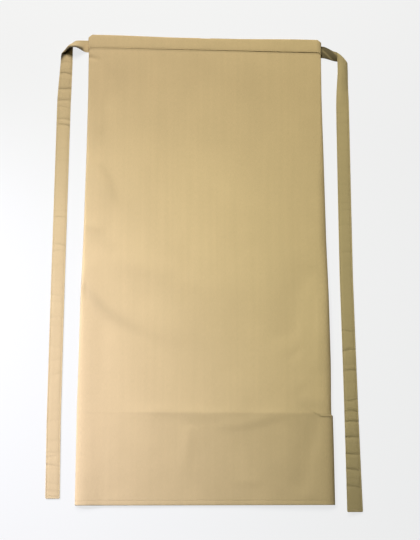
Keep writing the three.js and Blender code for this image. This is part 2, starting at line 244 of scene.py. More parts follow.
# Stitches
STITCH = Row(length=2.9, gap=0.7, radius=0.24, tip=0.45, sunk=0.1, crown=0.2)
STITCH_RINGS = 5
STITCH_SIDES = 6

# How fine the meshes are: stops, each with the number of steps to it. Columns run across the folded cloth
# from -3 to 3: up to 1 across the front, from 1 to 2 round a roll, and from 2 to 3 along a flap
RIM_KEPT = 0.15  # the share of its thickness that cloth has at the very edge
PANEL_RIM = 1.2  # how far in from an edge the cloth is rounded off
STRIP_RIM = 0.9
TIE_END_RIM = 1.0
PANEL_ROWS = [
    (0.0, 0), (0.15, 1), (0.6, 1), (PANEL_RIM, 1), (6.5, 2), (12.0, 6), (20.0, 3), (150.0, 26), (170.0, 7),
    (182.0, 10), (215.0, 12), (930.0, 146), (952.0, 9), (962.0, 5), (972.0, 12), (PANEL_TOP, 4),
]
STRIP_EDGE = [(0.0, 0), (0.1, 1), (0.4, 1), (STRIP_RIM, 1)]
BAND_ROWS = [*STRIP_EDGE, (3.5, 5), (BAND_BELOW - 2, 8), (BAND_BELOW, 2), (BAND_AROUND / 2, 4)]
TIE_ROWS = [*STRIP_EDGE, (3.4, 5), (TIE_WIDTH / 2, 5)]
TIE_STEPS = [0, 6, 10, 60, 60, 24, 160]  # from a tie's root to well past its corner
TIE_END_STOPS = [(10.0, 760), (1.0, 18), (0.5, 1), (0.15, 1), (0.0, 1)]  # from a tie's end
CLOSER_FROM = 0.76  # the front's columns lie closer together from here out
LAST_COLUMN = 3.0  # at a flap's free edge
PANEL_COLUMNS = Row(front=64, roll=14, flap=[(2.94, 9), (2.97, 2), (LAST_COLUMN, 3)])
BAND_COLUMNS = Row(front=160, roll=12, flap=[(LAST_COLUMN, 40)])
SEWN_COLUMNS = np.linspace(-1.5, 1.5, 400)  # stitched as far as the rolls' outermost lines

# Colours of the cloth, from the left to the right of the apron, and of the thread. The yellower right end
# and the right tie's own colour are painted shade, the tint that the shaded right side takes
PANEL_COLOURS = [(0.625, 0.475, 0.281), (0.612, 0.475, 0.246)]
BAND_COLOURS = [(0.605, 0.46, 0.268), (0.592, 0.46, 0.235)]
LEFT_TIE_COLOURS = [(0.56, 0.43, 0.25)] * 2
RIGHT_TIE_COLOURS = [(0.55, 0.445, 0.222)] * 2
THREAD_COLOUR = (0.64, 0.50, 0.29)
CLOTH_FINISH = {"Roughness": 0.88, "Specular IOR Level": 0.25, "Sheen Weight": 0.12, "Sheen Roughness": 0.5}
THREAD_FINISH = {"Roughness": 0.7, "Specular IOR Level": 0.3, "Sheen Weight": 0.1}
THREAD_NOISE = Row(scale=600.0, shade=(0.8, 1.1))
PAPER_ROUGHNESS = 0.9

# The weave, in millimetres on the flat cloth: lines by their spacing and turn, noise by its size and how far
# it is drawn out along the cloth, each with the shades or heights that it ranges over
WALE = Row(period=0.85, turn=58.0, shade=(0.9, 1.06), height=(0.3, 1.0))
YARN = Row(period=0.42, turn=0.0, height=(0.6, 1.0))
SLUB = Row(size=0.5, stretch=16.0, detail=2.0, shade=(0.88, 1.12))
WARP = Row(size=9.0, stretch=40.0, detail=1.0, shade=(0.965, 1.035))
DYE = Row(size=70.0, stretch=1.6, detail=3.0, shade=(0.95, 1.05))
LINE_WOBBLE = {"Distortion": 0.6, "Detail": 1.0}
WAVE_UNIT = math.tau / 20  # the scale at which Blender's wave texture repeats at every unit
BUMP = {"Strength": 0.35, "Distance": 0.12 * MM}

# Camera, in the apron's own frame, with its focal length in the photograph's pixels
EYE = (-96.5, 14.8, 1956.0)
LOOK = (0.0525, 0.2293, -0.9719)
UP = (-0.0106, 0.9734, 0.2290)
FOCAL_PIXELS = 965.9
IMAGE_WIDTH = 420
SENSOR = 36.0

# Lights, with their places in the apron's own frame, sizes in metres, cones in degrees and power in watts
LAMP_PLACE = (-1550, 1100, 1300)
LIGHTS = table("name kind place aim size cone power colour", [
    ("window", "AREA", (-300, 2200, 1600), (0, 500, 0), 0.8, None, 49.0, (1.0, 0.96, 0.875)),
    ("lamp", "SPOT", LAMP_PLACE, (-96, 227, 0), 0.16, 40.4, 113.0, (0.955, 1.0, 0.93)),
    ("pool", "SPOT", LAMP_PLACE, (-752, 189, 0), 0.16, 48.1, 222.0, (0.755, 0.72, 1.0)),
])
FILL = Row(strength=0.05, colour=(0.95, 1.0, 0.4))

# Floor, and a pale wall round it that only the camera sees, in metres
FLOOR = Row(reach=12.0, colour=(0.13, 0.13, 0.13), glow=(0.75, 0.755, 0.765))
BACKDROP = Row(height=8.0, sides=96, colour=(0.0, 0.0, 0.0), glow=(0.77, 0.775, 0.785))


def smoothstep(value, low, high):
    share = np.clip((value - low) / (high - low), 0.0, 1.0)
    return share * share * (3.0 - 2.0 * share)


def falling(value, low, high):
    return 1 - smoothstep(value, low, high)


def lerp(low, high, share):
    return low + (high - low) * share


def xyz(x, y, z=0.0):
    return np.stack(np.broadcast_arrays(x, y, z), axis=-1)


def bell(away, width):
    """1 in the middle of something, and falling off smoothly to each side."""
    return np.exp(-((away / width) ** 2))


def table_value(rows, y):
    """What a table of (y, value) rows, from the top down, gives at any y."""
    stops, values = np.array(rows[::-1], float).T
    return np.interp(y, stops, values)


def steps_between(stops):
    """Numbers through (value, steps to get there) pairs; the first pair only starts them."""
    values = [stops[0][0]]
    for value, steps in stops[1:]:
        values.extend(np.linspace(values[-1], value, steps + 1)[1:])
    return np.array(values)


section_places = np.arange(-SECTION_MARGIN, APRON_LENGTH + SECTION_MARGIN, SECTION_STEP)


def section(key, y):
    """A column of the sections at any y, with its corners rounded off."""
    values = np.interp(section_places, [row.y for row in SECTIONS], [getattr(row, key) for row in SECTIONS])
    count = math.ceil(3 * SECTION_BLEND / SECTION_STEP)
    weights = np.exp(-0.5 * (np.arange(-count, count + 1) * SECTION_STEP / SECTION_BLEND) ** 2)
    padded = np.pad(values, count, mode="edge")
    soft = np.convolve(padded, weights / weights.sum(), mode="valid")
    return np.interp(y, section_places, soft)


def waves(x, y, row, count=9):
    """A smooth random field, mostly between -1 and 1, with a row's wave length and seed."""
    rng = np.random.default_rng(row.seed)
    total = np.zeros(np.broadcast(x, y).shape)
    for _ in range(count):
        heading = rng.uniform(0, math.tau)
        number = math.tau / (row.length * rng.uniform(*WAVE_SPREAD))
        total += np.cos(number * (x * math.cos(heading) + y * math.sin(heading)) + rng.uniform(0, math.tau))
    return total / math.sqrt(count)


def softened(points, rounds=3, cut=0.25):
    """A run of points with its corners cut off, and cut again."""
    points = np.array(points, float)
    for _ in range(rounds):
        near = lerp(points[:-1], points[1:], cut)
        far = lerp(points[:-1], points[1:], 1 - cut)
        between = np.stack([near, far], axis=1).reshape(-1, 2)
        points = np.concatenate([points[:1], between, points[-1:]])
    return points


def beside(x, y, run):
    """How far a place is from a run of points, on which side (1 left, -1 right), and how far along it."""
    nearest = np.full(np.broadcast(x, y).shape, np.inf)
    side = np.ones(nearest.shape)
    share = np.zeros(nearest.shape)
    for i, (start, leg) in enumerate(zip(run[:-1], np.diff(run, axis=0))):
        from_x = x - start[0]
        from_y = y - start[1]
        part = np.clip((from_x * leg[0] + from_y * leg[1]) / (leg @ leg), 0, 1)
        away = np.hypot(from_x - part * leg[0], from_y - part * leg[1])
        closer = away < nearest
        nearest = np.where(closer, away, nearest)
        side = np.where(closer, np.sign(leg[0] * from_y - leg[1] * from_x), side)
        share = np.where(closer, (i + part) / (len(run) - 1), share)
    return nearest, side, share


def faded(share, fade):
    """How much there is of something that comes in and goes out along its run."""
    return smoothstep(share, FADE_START, fade[0]) * falling(share, 1 - fade[1], 1)


def crease_rise(x, y):
    uneven = 1 + CREASE.uneven * waves(x, 0 * y, CREASE)
    uneven = uneven * (1 - CREASE_END.lost * smoothstep(x, *CREASE_END.x))
    reach = np.where(y > CREASE.y, CREASE.above, CREASE.below)
    return CREASE.rise * uneven * np.exp(-np.abs(y - CREASE.y) / reach)


def relief(x, y):
    """How far the front stands above its plain shape."""
    rise = crease_rise(x, y)
    for fold in FOLDS:
        away, side, share = beside(x, y, softened(fold.run))
        width = np.where(side > 0, fold.left, fold.right)
        rise += fold.rise * faded(share, fold.fade) * bell(away, width)
    for wave in WAVES:
        rise += wave.rise * waves(x, y, wave)
    return rise * (1 - PRESSED.share * smoothstep(y, BAND_EDGE - PRESSED.reach, BAND_EDGE))


def folded_edge(on_left, y):
    """How far the folded edges are from the middle line."""
    stepped = smoothstep(y, *RIGHT_STEP.comes) * falling(y, *RIGHT_STEP.goes)
    return np.where(on_left, section("left", y), section("right", y) - RIGHT_STEP.depth * stepped)


def bend_sizes(on_left, y):
    """How wide and how high the rolled sides are, above and below their outermost lines."""
    loose = falling(y, *LOOSE)
    spread = np.where(on_left, falling(y, *LEFT_BEND.spread), falling(y, *RIGHT_BEND.spread))
    roll = section("roll", y)
    sizes = {}
    for key, share in [("wide", spread), ("high", loose), ("under_wide", loose), ("under_high", loose)]:
        bent = np.where(on_left, getattr(LEFT_BEND, key), getattr(RIGHT_BEND, key))
        sizes[key] = roll * lerp(1.0, bent, share)
    return Row(**sizes)


def quarter_length(wide, high):
    """About the length of a quarter of an ellipse."""
    return math.pi / 2 * np.hypot(wide, high) / math.sqrt(2)


def lay(column, y, half_width, offset):
    """Points of the folded cloth, moved out of its middle by offset towards its right side."""
    column, y, offset = np.broadcast_arrays(column, y, offset)
    on_left = column < 0
    side = np.where(on_left, -1.0, 1.0)
    part = np.abs(column)
    bend = bend_sizes(on_left, y)
    flap_z = section("flap", y)
    edge = folded_edge(on_left, y)
    outermost_x = edge - CLOTH / 2
    outermost_z = flap_z + bend.under_high
    axis = outermost_x - bend.wide
    edge_rise = relief(side * axis, y)

    # Front
    inward = axis * (1 - np.minimum(part, 1.0))
    front_x = axis - inward
    sunk = smoothstep(inward, 0, np.where(on_left, TROUGH.left, TROUGH.right))
    wrinkled = lerp(edge_rise, relief(side * front_x, y), smoothstep(inward, 0, WRINKLE_START))
    front_z = lerp(outermost_z + bend.high, section("front", y), sunk) + wrinkled + offset

    # Rolls
    angle = np.clip(part - 1, 0, 1) * math.pi
    over = angle <= math.pi / 2
    wide = np.where(over, bend.wide, bend.under_wide)
    high = np.where(over, bend.high + edge_rise, bend.under_high)
    out_x = high * np.sin(angle)
    out_z = wide * np.cos(angle)
    out_size = np.hypot(out_x, out_z)
    roll_x = outermost_x - wide * (1 - np.sin(angle)) + offset * out_x / out_size
    roll_z = outermost_z + high * np.cos(angle) + offset * out_z / out_size

    # Flaps
    round_length = quarter_length(bend.wide, bend.high)
    round_length = round_length + quarter_length(bend.under_wide, bend.under_high)
    flap_x = outermost_x - bend.under_wide - (part - 2) * (half_width - axis - round_length)

    parts = [part <= 1, part <= 2]
    x = np.select(parts, [front_x, roll_x], flap_x)
    z = np.select(parts, [front_z, roll_z], flap_z - offset)
    near_corner = smoothstep(x, edge - CORNER.reach, edge) * smoothstep(y, CORNER.start, APRON_LENGTH)
    near_top = smoothstep(y, APRON_LENGTH - BAND_HEIGHT, APRON_LENGTH)
    near_middle = falling(x, 0, TOP_SAG.reach)
    sag = np.where(part <= 1, TOP_SAG.depth * near_middle * near_top, 0.0)
    return xyz(side * x, y - CORNER.drop * near_corner - sag, z)


def rounded(distance, radius):
    """The share of its half thickness that cloth has at a distance in from a turned edge."""
    share = np.clip(distance / radius, 0.0, 1.0)
    return np.maximum(np.sqrt(share * (2 - share)), RIM_KEPT)


panel_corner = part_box("panel")[0]
widest_left = max(row.left for row in SECTIONS)
APRON_PLACE = np.array([panel_corner.x + widest_left * MM, panel_corner.y, 0.0])


def to_world(points):
    return np.asarray(points) * MM + APRON_PLACE


def link_object(name, data):
    obj = bpy.data.objects.new(name, data)
    scene.collection.objects.link(obj)
    return obj


def new_object(name, points, faces, cloth=None, tone=None):
    """A smooth mesh; cloth gives each point's place on the flat cloth, and tone how pale it is there, as
    painted shade and light.
    """
    mesh = bpy.data.meshes.new(name)
    mesh.from_pydata(to_world(points).tolist(), [], faces)
    mesh.shade_smooth()
    if cloth is not None:
        layer = mesh.attributes.new("cloth_mm", "FLOAT_VECTOR", "POINT")
        layer.data.foreach_set("vector", np.asarray(cloth, np.float32).ravel())
        layer = mesh.attributes.new("tone", "FLOAT", "POINT")
        layer.data.foreach_set("value", np.asarray(tone, np.float32).ravel())
    return link_object(name, mesh)


def quads(*corners):
    return np.stack(corners, axis=-1).reshape(-1, 4)


def cloth_wall(name, right_side, back, flat, tone):
    """A closed wall of cloth between two grids of points (rows, columns, 3), joined round the rim."""
    rows, columns = right_side.shape[:2]
    count = rows * columns
    front = np.arange(count).reshape(rows, columns)
    behind = front + count
    faces = [
        quads(front[:-1, :-1], front[:-1, 1:], front[1:, 1:], front[1:, :-1]),
        quads(behind[:-1, :-1], behind[1:, :-1], behind[1:, 1:], behind[:-1, 1:]),
        quads(behind[:-1, 0], front[:-1, 0], front[1:, 0], behind[1:, 0]),
        quads(front[:-1, -1], behind[:-1, -1], behind[1:, -1], front[1:, -1]),
        quads(behind[0, :-1], behind[0, 1:], front[0, 1:], front[0, :-1]),
        quads(front[-1, :-1], front[-1, 1:], behind[-1, 1:], behind[-1, :-1]),
    ]
    points = np.concatenate([right_side.reshape(-1, 3), back.reshape(-1, 3)])
    cloth = np.tile(flat.reshape(-1, 3), (2, 1))
    tones = np.tile(np.broadcast_to(tone, (rows, columns)).ravel(), 2)
    return new_object(name, points, np.concatenate(faces).tolist(), cloth, tones)


def cloth_columns(counts):
    front_steps = counts.front // 2
    stops = [(0.0, 0), (CLOSER_FROM, front_steps), (1.0, front_steps), (2.0, counts.roll)]
    half = steps_between(stops + counts.flap)
    return np.concatenate([-half[:0:-1], half])


def across_front(row, column):
    """What a row gives between the left and the right of the front."""
    return lerp(row.left, row.right, (np.clip(column, -1, 1) + 1) / 2)


def flat_place(column, y, half_width):
    """Where a point of the folded cloth is on the flat cloth."""
    stops = [0, FRONT_HALF, FRONT_HALF + ROLL_LENGTH, half_width]
    across = np.sign(column) * np.interp(np.abs(column), range(len(stops)), stops)
    return xyz(across, y)


def hem_extra(column, y):
    """How much thicker the turned hems make the cloth."""
    side_hem = smoothstep(np.abs(column), *SIDE_HEM.columns) * falling(y, *SIDE_HEM.y)
    low_hem = falling(y, HEM.width - HEM.blend, HEM.width + HEM.blend)
    return np.maximum(side_hem, low_hem) * HEM.extra


def panel_rise(column, y):
    """The panel's fine shape: the dip at the seam, and the hem's groove and puckers."""
    seam = -across_front(SEAM_DIP, column) * bell(y - SEAM_DIP.at, SEAM_DIP.width)
    groove = -HEM_GROOVE.depth * bell(y - HEM.stitch, HEM_GROOVE.width)
    pucker = HEM_PUCKER.rise * waves(column * FRONT_HALF, HEM_PUCKER.stretch * y, HEM_PUCKER)
    pucker = pucker * bell(y - HEM.stitch, HEM_PUCKER.reach)
    return np.where(np.abs(column) <= 1, seam + groove + pucker, 0.0)


def panel_tone(column, x, y):
    """How pale the panel is, with all its painted shade and its paler middle."""
    part = np.abs(column)
    below = falling(y, *CREASE_SHADE.y) * (part <= CREASE_SHADE.columns)
    tone = 1 - across_front(CREASE_SHADE, column) * below
    for shade in SHADES:
        away, _, share = beside(x, y, softened(shade.run))
        dark = shade.dark * faded(share, shade.fade) * bell(away, shade.width)
        tone = tone - dark * (part <= SHADED_COLUMNS)
    seam = across_front(SEAM_SHADE, column) * bell(y - SEAM_SHADE.at, SEAM_SHADE.width)
    turned = ROLL_SHADE.dark * smoothstep(column, *ROLL_SHADE.columns) * falling(y, *ROLL_SHADE.y)
    return tone - seam - turned - HEM_SHADE.dark * bell(y - HEM.stitch, HEM_SHADE.width)


def make_panel():
    columns = cloth_columns(PANEL_COLUMNS)[None, :]
    rows = steps_between(PANEL_ROWS)[:, None]
    half_width = PANEL_WIDTH / 2
    hem = hem_extra(columns, rows)
    full = rounded(rows, PANEL_RIM)
    bulk = panel_rise(columns, rows) * full
    bulk = bulk - hem * (1 - full) / 2  # the hem's edge turns round the middle of its layers
    right_side = lay(columns, rows, half_width, CLOTH / 2 * full + bulk)
    back = lay(columns, rows, half_width, -(CLOTH / 2 + hem) * full + bulk)
    sewn_rise = panel_rise(SEWN_COLUMNS, HEM.stitch)
    sewn = lay(SEWN_COLUMNS, HEM.stitch, half_width, CLOTH / 2 + sewn_rise)
    above = lay(SEWN_COLUMNS, HEM.stitch, half_width, CLOTH + sewn_rise)
    threads = stitching("panel_stitching", [(sewn, above - sewn)])
    flat = flat_place(columns, rows, half_width)
    tone = panel_tone(columns, right_side[..., 0], rows)
    wall = cloth_wall("panel_cloth", right_side, back, flat, tone)
    return wall, threads


def band_point(columns, way, face_offset):
    """A point of the waistband; way runs from its front lower edge, over the top, to its back one."""
    turn = np.clip((way - BAND_BELOW) / (math.pi * TOP_TURN), 0, 1) * math.pi
    below = np.maximum(BAND_BELOW - way, np.maximum(way - BAND_BELOW - math.pi * TOP_TURN, 0))
    y = PANEL_TOP - below + np.sin(turn) * (TOP_TURN + face_offset)
    return lay(columns, y, BAND_LENGTH / 2, np.cos(turn) * (TOP_TURN + face_offset))


def band_puckers(columns, way, from_edge):
    """How far the waistband's front stands up between its lower edge's stitching and its top."""
    rise = BAND_PUCKER.rise * (1 + waves(columns * FRONT_HALF, way * BAND_PUCKER.stretch, BAND_PUCKER))
    rise = np.maximum(rise, 0) * smoothstep(from_edge, *BAND_PUCKER.edge)
    return rise * (np.abs(columns) <= 1) * smoothstep(BAND_BELOW - way, *BAND_PUCKER.top)


def make_waistband():
    columns = cloth_columns(BAND_COLUMNS)[None, :]
    half = steps_between(BAND_ROWS)
    way = np.concatenate([half, BAND_AROUND - half[-2::-1]])[:, None]
    from_edge = np.minimum(way, BAND_AROUND - way)
    half_wall = BAND_WALL / 2 * rounded(from_edge, STRIP_RIM)
    groove = bell(from_edge - BAND_STITCH, BAND_GROOVE.width)
    rise = band_puckers(columns, way, from_edge) - BAND_GROOVE.depth * groove
    outer = band_point(columns, way, half_wall + rise)
    inner = band_point(columns, way, -half_wall)
    # painted shade in the stitching's groove and at the band's right end
    end = smoothstep(columns, *BAND_END_SHADE.columns)
    tone = 1 - BAND_GROOVE.dark * groove - BAND_END_SHADE.dark * end
    sewn = band_point(SEWN_COLUMNS, BAND_STITCH, BAND_WALL / 2 - BAND_GROOVE.depth)
    above = band_point(SEWN_COLUMNS, BAND_STITCH, BAND_WALL)
    threads = stitching("waistband_stitching", [(sewn, above - sewn)])
    flat = flat_place(columns, way, BAND_LENGTH / 2)
    wall = cloth_wall("waistband_cloth", outer, inner, flat, tone)
    return wall, threads


def fold_strip(points, crease):
    """Bends what lies past a crease of a strip (along x, across y, up z) through a soft half turn."""
    half = math.radians(crease.turn) / 2
    ahead = np.array([math.sin(half), math.cos(half)])
    sideways = np.array([math.cos(half), -math.sin(half)])
    flat = points[..., :2] - np.array([crease.at, 0.0])
    past = flat @ ahead
    angle = np.clip(past / crease.radius, 0, math.pi)
    reach = crease.radius - crease.up * points[..., 2]
    out = reach * np.sin(angle) - np.maximum(past - math.pi * crease.radius, 0)
    place = out[..., None] * ahead + (flat @ sideways)[..., None] * sideways
    height = crease.up * (crease.radius - reach * np.cos(angle))
    folded = xyz(crease.at + place[..., 0], place[..., 1], height)
    return np.where((past > 0)[..., None], folded, points)


def tie_path(tie):
    """Where a tie's strip starts, and where along it the tie turns back, comes out, folds and settles."""
    root_y = APRON_LENGTH - BAND_HEIGHT / 2 - TOP_TURN / 2
    root_x = lay(LAST_COLUMN, root_y, BAND_LENGTH / 2, 0.0)[0] + TIE_ROOT.inside
    turn_back = Row(
        at=TIE_ROOT.inside + TIE_ROOT.past_band, turn=180 - tie.slant,
        radius=(BANDED_FLAP - LYING) / 2, up=-1,
    )
    out_start = turn_back.at + math.pi * turn_back.radius
    slope = math.cos(math.radians(tie.slant))
    middle_line = out_start - (root_x - turn_back.at) / slope
    corner = Row(turn=90 - tie.slant, radius=tie.fold, up=-1 if tie.out_above else 1)
    ahead = math.sin(math.radians(corner.turn) / 2)
    first_x = tie.run[0][1]
    corner.at = middle_line + first_x / slope - math.pi * tie.fold * ahead
    fold_end = corner.at + math.pi * tie.fold / ahead
    rise_start = middle_line + TIE_RISE.start / slope
    rise_stop = middle_line + TIE_RISE.stop / slope
    settle = Row(start=rise_start, stop=rise_stop, lift=2 * tie.fold)
    if tie.out_above:
        settle = Row(start=fold_end, stop=fold_end + TIE_DESCENT, lift=-2 * tie.fold)
    return Row(
        root_x=root_x, root_y=root_y, turn_back=turn_back, out_start=out_start, corner=corner, ahead=ahead,
        fold_end=fold_end, rise_start=rise_start, settle=settle,
    )


def kept_width(tie, path, along):
    """The share of its width that a tie keeps where it is arched at its corner."""
    after = falling(along - path.fold_end, *CUP_FADE)
    return 1 - tie.cupped * smoothstep(along, path.rise_start, path.corner.at) * after


def tie_middle(tie, path, along, across):
    """Points of the middle of a tie's cloth, before it puckers, leans and widens."""
    corner_at = path.corner.at
    kept = kept_width(tie, path, along)
    flat = xyz(along, across * kept)
    point = fold_strip(fold_strip(flat, path.corner), path.turn_back)
    arch_height = TIE_WIDTH * kept * np.sqrt((1 / kept - 1) * ARCH_SHARE)
    arch = arch_height * (1 - (2 * across / TIE_WIDTH) ** 2)
    y = path.root_y + point[..., 1]
    first_y, first_x = tie.run[0]
    sway = table_value(tie.run, np.minimum(y, first_y)) - first_x
    settle = path.settle
    lift = settle.lift * smoothstep(along, settle.start, settle.stop)
    dip = tie.dip * smoothstep(along, path.rise_start, corner_at)
    lower_share = (0.5 - across / TIE_WIDTH) ** 2
    opens = smoothstep(along, path.rise_start, corner_at - TIE_WIDTH / 4)
    closes = smoothstep(along, corner_at, corner_at + TIE_WIDTH / 2)
    gape = tie.gape * lower_share * opens * (1 - closes)
    x = tie.side * (path.root_x - point[..., 0] + sway)
    z = BANDED_FLAP + point[..., 2] + lift + gape + arch
    return xyz(x, y - dip + gape * GAPE_LEAN, z)


def tie_stations(tie, path):
    """Where along a tie its mesh has points, and its whole length."""
    corner_at = path.corner.at
    fold_end = path.fold_end
    descent_end = tie_middle(tie, path, np.array(fold_end + TIE_DESCENT), np.zeros(()))
    last = fold_end + descent_end[1] + TIE_DESCENT - tie.end
    places = [
        0.0, path.turn_back.at, path.out_start, corner_at - SLANT_FADE[1], corner_at, fold_end,
        fold_end + 2 * TIE_DESCENT,
    ]
    stops = [*zip(places, TIE_STEPS), *[(last - gap, steps) for gap, steps in TIE_END_STOPS]]
    return steps_between(stops), last


def station_slant(path, stations):
    """How far the mesh's cross lines slant, so that they follow the crease at the corner."""
    corner = path.corner
    near = falling(corner.at - stations, *SLANT_FADE) * falling(stations - path.fold_end, *SLANT_FADE)
    return near / math.tan(math.radians(corner.turn) / 2)


def strip_normal(centre, stations, side):
    """The directions out of a tie's right side."""
    onward = np.gradient(centre, axis=1) / np.gradient(stations)[None, :, None]
    sideways = np.gradient(centre, axis=0)
    normal = np.cross(onward, sideways) * -side
    return normal / np.linalg.norm(normal, axis=-1, keepdims=True)


def puckers(y, across, tie):
    """How far a tie is drawn down at its cross puckers, from 0 to 1, and how close each place is to one."""
    rng = np.random.default_rng(tie.seed)
    marks = list(tie.puckers)
    faint_y = tie.run[-1][0] + FAINT_PUCKER.spacing[0]
    while faint_y < tie.run[0][0]:
        marks.append((faint_y, rng.uniform(*FAINT_PUCKER.depth)))
        faint_y += rng.uniform(*FAINT_PUCKER.spacing)
    outward = 2 * across / TIE_WIDTH
    drawn = np.zeros(y.shape)
    close = np.zeros(y.shape)
    for mark_y, deepest in marks:
        bow = rng.uniform(*PUCKER.bow) * (1 - outward**2)
        uneven = rng.uniform(-PUCKER.uneven, PUCKER.uneven) * outward
        depth = deepest * np.clip(1 + uneven, 0, 1)
        above = y - mark_y - rng.uniform(*PUCKER.slant) * across - bow
        fall = np.where(above > 0, above / PUCKER.above, -above / PUCKER.below)
        drawn = np.maximum(drawn, depth * np.exp(-fall))
        close = np.maximum(close, depth * bell(above, PUCKER.width))
    return drawn, close


def tie_lean(tie, centre):
    """How far a tie that leans is lifted, from its outer edge inwards."""
    outward = tie.side * centre[..., 0]
    share = lerp(1.0, LEAN_FADE.share, smoothstep(centre[..., 1], *LEAN_FADE.y))
    return math.tan(math.radians(tie.lean)) * share * (outward.max(axis=0) - outward)


def end_rounding(across, to_end):
    """How far the corners of a tie's end are pulled up."""
    corner_gap = np.clip(np.abs(across) - TIE_WIDTH / 2 + END_RADIUS, 0, END_RADIUS)
    rounded_off = END_RADIUS - np.sqrt(END_RADIUS**2 - corner_gap**2)
    return rounded_off * falling(to_end, 0, END_BLEND)


def corner_tone(tie, path, along, across):
    """How pale a tie is at its folded corner: painted shade where other layers shade it."""
    ahead = path.ahead
    past = (along - path.corner.at) * ahead
    past = past + across * kept_width(tie, path, along) * math.sqrt(1 - ahead**2)
    out = along - path.rise_start
    if tie.out_above:
        streak = bell(across - STREAK.across + STREAK.slope * out, STREAK.width)
        under = falling(past, *UNDER_SHADE.stops)
        return 1 - UNDER_SHADE.dark * (1 - STREAK.pale * streak) * under
    lower_edge = falling(across + TIE_WIDTH / 2, *GAPE_SHADE.edge)
    gaping = smoothstep(out, *GAPE_SHADE.starts) * falling(past, *GAPE_SHADE.stops)
    in_fold = bell(past - math.pi * tie.fold, FOLD_SHADE.width)
    return (1 - FOLD_SHADE.dark * in_fold) * (1 - GAPE_SHADE.dark * lower_edge * gaping)


def make_tie(tie):
    """A flat strip from its root in the band, turned back under the flap, led out, folded and laid down."""
    path = tie_path(tie)
    stations, last = tie_stations(tie, path)
    half = steps_between(TIE_ROWS)
    from_edge = np.concatenate([half, half[-2::-1]])[:, None]
    across = np.concatenate([half - TIE_WIDTH / 2, TIE_WIDTH / 2 - half[-2::-1]])[:, None]
    along = stations - across * kept_width(tie, path, stations) * station_slant(path, stations)
    across = np.broadcast_to(across, along.shape)
    to_end = last - along
    loose_from = path.fold_end + TIE_FREE
    loose = smoothstep(along, path.fold_end, loose_from)

    centre = tie_middle(tie, path, along, across)
    normal = strip_normal(centre, stations, tie.side)
    drawn, close = puckers(centre[..., 1], across, tie)
    centre[..., 2] += (PUCKER.rise * (1 - drawn) + tie_lean(tie, centre)) * loose
    wider = (table_value(tie.width, centre[..., 1]) - 1) * loose
    centre[..., 0] += wider * (centre[..., 0] - centre[len(centre) // 2, :, 0])
    centre[..., 1] += end_rounding(across, to_end)

    end_full = rounded(np.maximum(to_end, 0), TIE_END_RIM)
    half_wall = CLOTH / 2 * rounded(from_edge, STRIP_RIM) * end_full
    edge_groove = bell(from_edge - TIE_STITCH, TIE_GROOVE.width)
    groove = np.maximum(edge_groove, bell(to_end - END_STITCH, TIE_GROOVE.width))
    padding = PILLOW.rise * smoothstep(from_edge, *PILLOW.edge)
    padding = (padding - TIE_GROOVE.depth * groove) * np.clip(normal[..., 2], 0, 1)
    right_side = centre + normal * (half_wall + padding * end_full)[..., None]
    back = centre - normal * half_wall[..., None]
    flat = xyz(across, along)
    # painted shade in the grooves, puckers and folded corner, and painted shade and light along the tie
    tone = 1 - TIE_GROOVE.dark * groove - PUCKER.dark * close * loose
    tone = tone * table_value(tie.shade, centre[..., 1]) * corner_tone(tie, path, along, across)

    furthest = along.max(axis=0)
    laid = np.flatnonzero((furthest > loose_from) & (furthest < last - END_STITCH))
    sewn = np.flatnonzero(half <= TIE_STITCH)[-1]
    crossing = slice(sewn, len(across) - sewn)
    lines = [
        (right_side[sewn, laid], normal[sewn, laid]),
        (right_side[-1 - sewn, laid], normal[-1 - sewn, laid]),
        (right_side[crossing, laid[-1] + 1], normal[crossing, laid[-1] + 1]),
    ]
    grids = (right_side, back, flat, tone)
    if tie.side > 0:  # the grid is turned round, so that its faces look outwards
        grids = [grid[:, ::-1] for grid in grids]
    wall = cloth_wall(tie.name + "_cloth", *grids)
    return wall, stitching(tie.name + "_stitching", lines)


def stitch_faces():
    """The faces of one stitch: its sides from ring to ring, and its two ends."""
    faces = []
    for i in range(STITCH_RINGS - 1):
        for j in range(STITCH_SIDES):
            a = i * STITCH_SIDES + j
            b = i * STITCH_SIDES + (j + 1) % STITCH_SIDES
            faces.append((a, a + STITCH_SIDES, b + STITCH_SIDES, b))
    ring = range(STITCH_SIDES)
    last = (STITCH_RINGS - 1) * STITCH_SIDES
    faces.append(tuple(ring))
    faces.append(tuple(last + j for j in reversed(ring)))
    return faces


def stitch_points(middle, out):
    """The rings of one stitch, round points of its line and their normals."""
    arc = np.sin(math.pi * np.linspace(0, 1, STITCH_RINGS))
    turn = (np.arange(STITCH_SIDES) * math.tau / STITCH_SIDES)[None, :, None]
    out = out / np.linalg.norm(out, axis=1, keepdims=True)
    forward = middle[-1] - middle[0]
    sideways = np.cross(forward / np.linalg.norm(forward), out)
    middle = middle + out * (STITCH.crown * arc - STITCH.sunk)[:, None]
    size = STITCH.radius * lerp(STITCH.tip, 1.0, arc)
    round_it = np.cos(turn) * sideways[:, None] + np.sin(turn) * out[:, None]
    return (middle[:, None] + size[:, None, None] * round_it).reshape(-1, 3)


def points_at(at, run, points):
    return np.stack([np.interp(at, run, values) for values in points.T], axis=-1)


def stitching(name, lines):
    """Short threads along lines on the cloth, each line a pair of points and of outward normals."""
    stitches = []
    pitch = STITCH.length + STITCH.gap
    for path, normals in lines:
        run = np.concatenate([[0.0], np.cumsum(np.linalg.norm(np.diff(path, axis=0), axis=1))])
        for start in np.arange(STITCH.gap, run[-1] - pitch, pitch):
            at = start + np.linspace(0, 1, STITCH_RINGS) * STITCH.length
            stitches.append(stitch_points(points_at(at, run, path), points_at(at, run, normals)))
    points = np.concatenate(stitches)
    starts = range(0, len(points), STITCH_RINGS * STITCH_SIDES)
    faces = [tuple(start + corner for corner in face) for start in starts for face in stitch_faces()]
    return new_object(name, points, faces)


